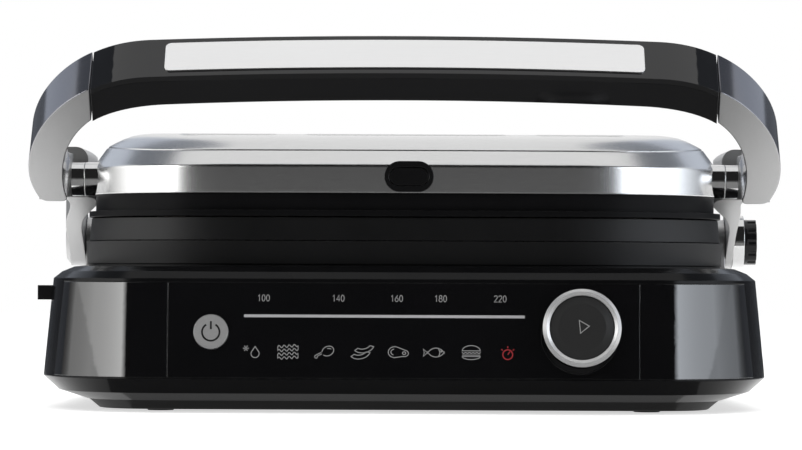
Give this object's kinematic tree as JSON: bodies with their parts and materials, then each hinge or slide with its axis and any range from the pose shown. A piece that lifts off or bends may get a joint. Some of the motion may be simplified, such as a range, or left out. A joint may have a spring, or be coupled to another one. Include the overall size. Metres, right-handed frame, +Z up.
{
  "type": "contact grill",
  "caption": "Electric contact grill: ribbed plates between a tilted control base and a floating steel lid on swing arms with a U handle.",
  "frame": {"origin": "on the table under the middle of the grill", "axes": "+X to the right seen from the front, +Y to the rear, +Z up"},
  "size_m": [0.3858, 0.3172, 0.1857],
  "materials": {
    "black_housing": "fine satin black",
    "black_gloss": "high gloss black",
    "light_strip": "translucent light bar",
    "black_bottom": "textured black",
    "foot_rubber": "matte rubber",
    "small_steel": "zinc-plated steel",
    "reflector_sheet": "plain aluminised sheet",
    "heater_tube": "dark oxidised tube",
    "sensor_steel": "drawn steel",
    "plate_coating": "cast aluminium with dark non-stick coating",
    "arm_casting": "satin die casting",
    "bush_brass": "plain bush",
    "black_parts": "satin black",
    "white_insulation": "insulating block",
    "board_green": "printed circuit board",
    "component_black": "moulded component",
    "bright_chrome": "polished",
    "bar_gloss": "high gloss black",
    "silver_inlay": "fine satin silver",
    "cover_steel": "brushed along its length",
    "button_black": "gloss black",
    "button_silver": "spun silver"
  },
  "bodies": {
    "base": {"base_housing": "black_housing", "control_fascia": "black_gloss", "cheek_panel_left": "black_gloss", "cheek_panel_right": "black_gloss", "indicator_light_bar": "light_strip", "base_bottom_cover": "black_bottom", "feet": "foot_rubber", "housing_screws": "small_steel", "lower_reflector": "reflector_sheet", "lower_heating_element": "heater_tube", "lower_element_clips": "small_steel", "lower_temperature_sensor": "sensor_steel", "lower_grill_plate": "plate_coating", "lower_fixed_catch": "sensor_steel", "drip_chute": "reflector_sheet", "hinge_tower_left": "arm_casting", "hinge_tower_right": "arm_casting", "hinge_bushes": "bush_brass", "cord_gland": "black_parts", "terminal_block": "white_insulation", "thermal_fuse": "white_insulation", "control_board": "board_green", "knob_encoder": "component_black", "power_switch": "component_black"},
    "arms": {"swing_arm_left": "arm_casting", "swing_arm_right": "arm_casting", "arm_screws": "small_steel", "hinge_pins": "small_steel", "hinge_cap": "arm_casting", "lock_ring": "bright_chrome", "handle_bracket_left": "arm_casting", "handle_bracket_right": "arm_casting", "handle_bar_cap": "bar_gloss", "handle_bar_channel": "bar_gloss", "handle_inlay": "silver_inlay", "handle_screws": "small_steel", "pivot_pins": "bright_chrome"},
    "lid": {"lid_cover": "cover_steel", "lid_skirt": "black_parts", "button_bezel": "button_black", "upper_reflector": "reflector_sheet", "upper_heating_element": "heater_tube", "upper_element_clips": "small_steel", "upper_temperature_sensor": "sensor_steel", "upper_grill_plate": "plate_coating", "upper_fixed_catch": "sensor_steel", "pivot_collars": "bright_chrome", "pivot_nuts": "small_steel"},
    "control_knob": {"knob_skirt": "black_parts", "knob_ring": "bright_chrome", "encoder_shaft": "small_steel"},
    "start_button": {"knob_cap": "black_gloss"},
    "power_button": {"power_button": "button_silver"},
    "side_release": {"side_release_button": "black_parts"},
    "front_release": {"front_release_button": "button_black"},
    "lid_lock": {"lock_knob": "black_parts", "lock_shaft": "small_steel"},
    "tray": {"drip_tray": "black_parts"}
  },
  "joints": [
    {"name": "lid_hinge", "type": "hinge", "parent": "base", "child": "arms", "pos_m": [0, 0.1397, 0.0877], "axis": [-1, 0, 0], "range_deg": [0, 177]},
    {"name": "lid_float", "type": "hinge", "parent": "arms", "child": "lid", "pos_m": [0, -0.0443, 0.117], "axis": [-1, 0, 0], "range_deg": [0, 3.2]},
    {"name": "front_release_slide", "type": "slide", "parent": "lid", "child": "front_release", "axis": [0, 1, 0], "range_m": [0, 0.0038], "stiffness_N_per_m": 400},
    {"name": "lock_turn", "type": "hinge", "parent": "arms", "child": "lid_lock", "pos_m": [0.19, 0.1397, 0.0877], "axis": [1, 0, 0], "range_deg": [0, 90]},
    {"name": "knob_turn", "type": "hinge", "parent": "base", "child": "control_knob", "pos_m": [0.087, -0.13889, 0.0406], "axis": [0, -0.9901, 0.14], "continuous": true},
    {"name": "start_push", "type": "slide", "parent": "control_knob", "child": "start_button", "axis": [0, 0.9901, -0.14], "range_m": [0, 0.0012], "stiffness_N_per_m": 300},
    {"name": "power_push", "type": "slide", "parent": "base", "child": "power_button", "axis": [0, 0.9901, -0.14], "range_m": [0, 0.0008], "stiffness_N_per_m": 300},
    {"name": "side_release_slide", "type": "slide", "parent": "base", "child": "side_release", "axis": [1, 0, 0], "range_m": [0, 0.004], "stiffness_N_per_m": 400},
    {"name": "tray_slide", "type": "slide", "parent": "base", "child": "tray", "axis": [0, 1, 0], "range_m": [0, 0.07]}
  ],
  "couplings": [
    {"joint": "lid_float", "follows": "lid_hinge", "ratio": 0.016949}
  ]
}
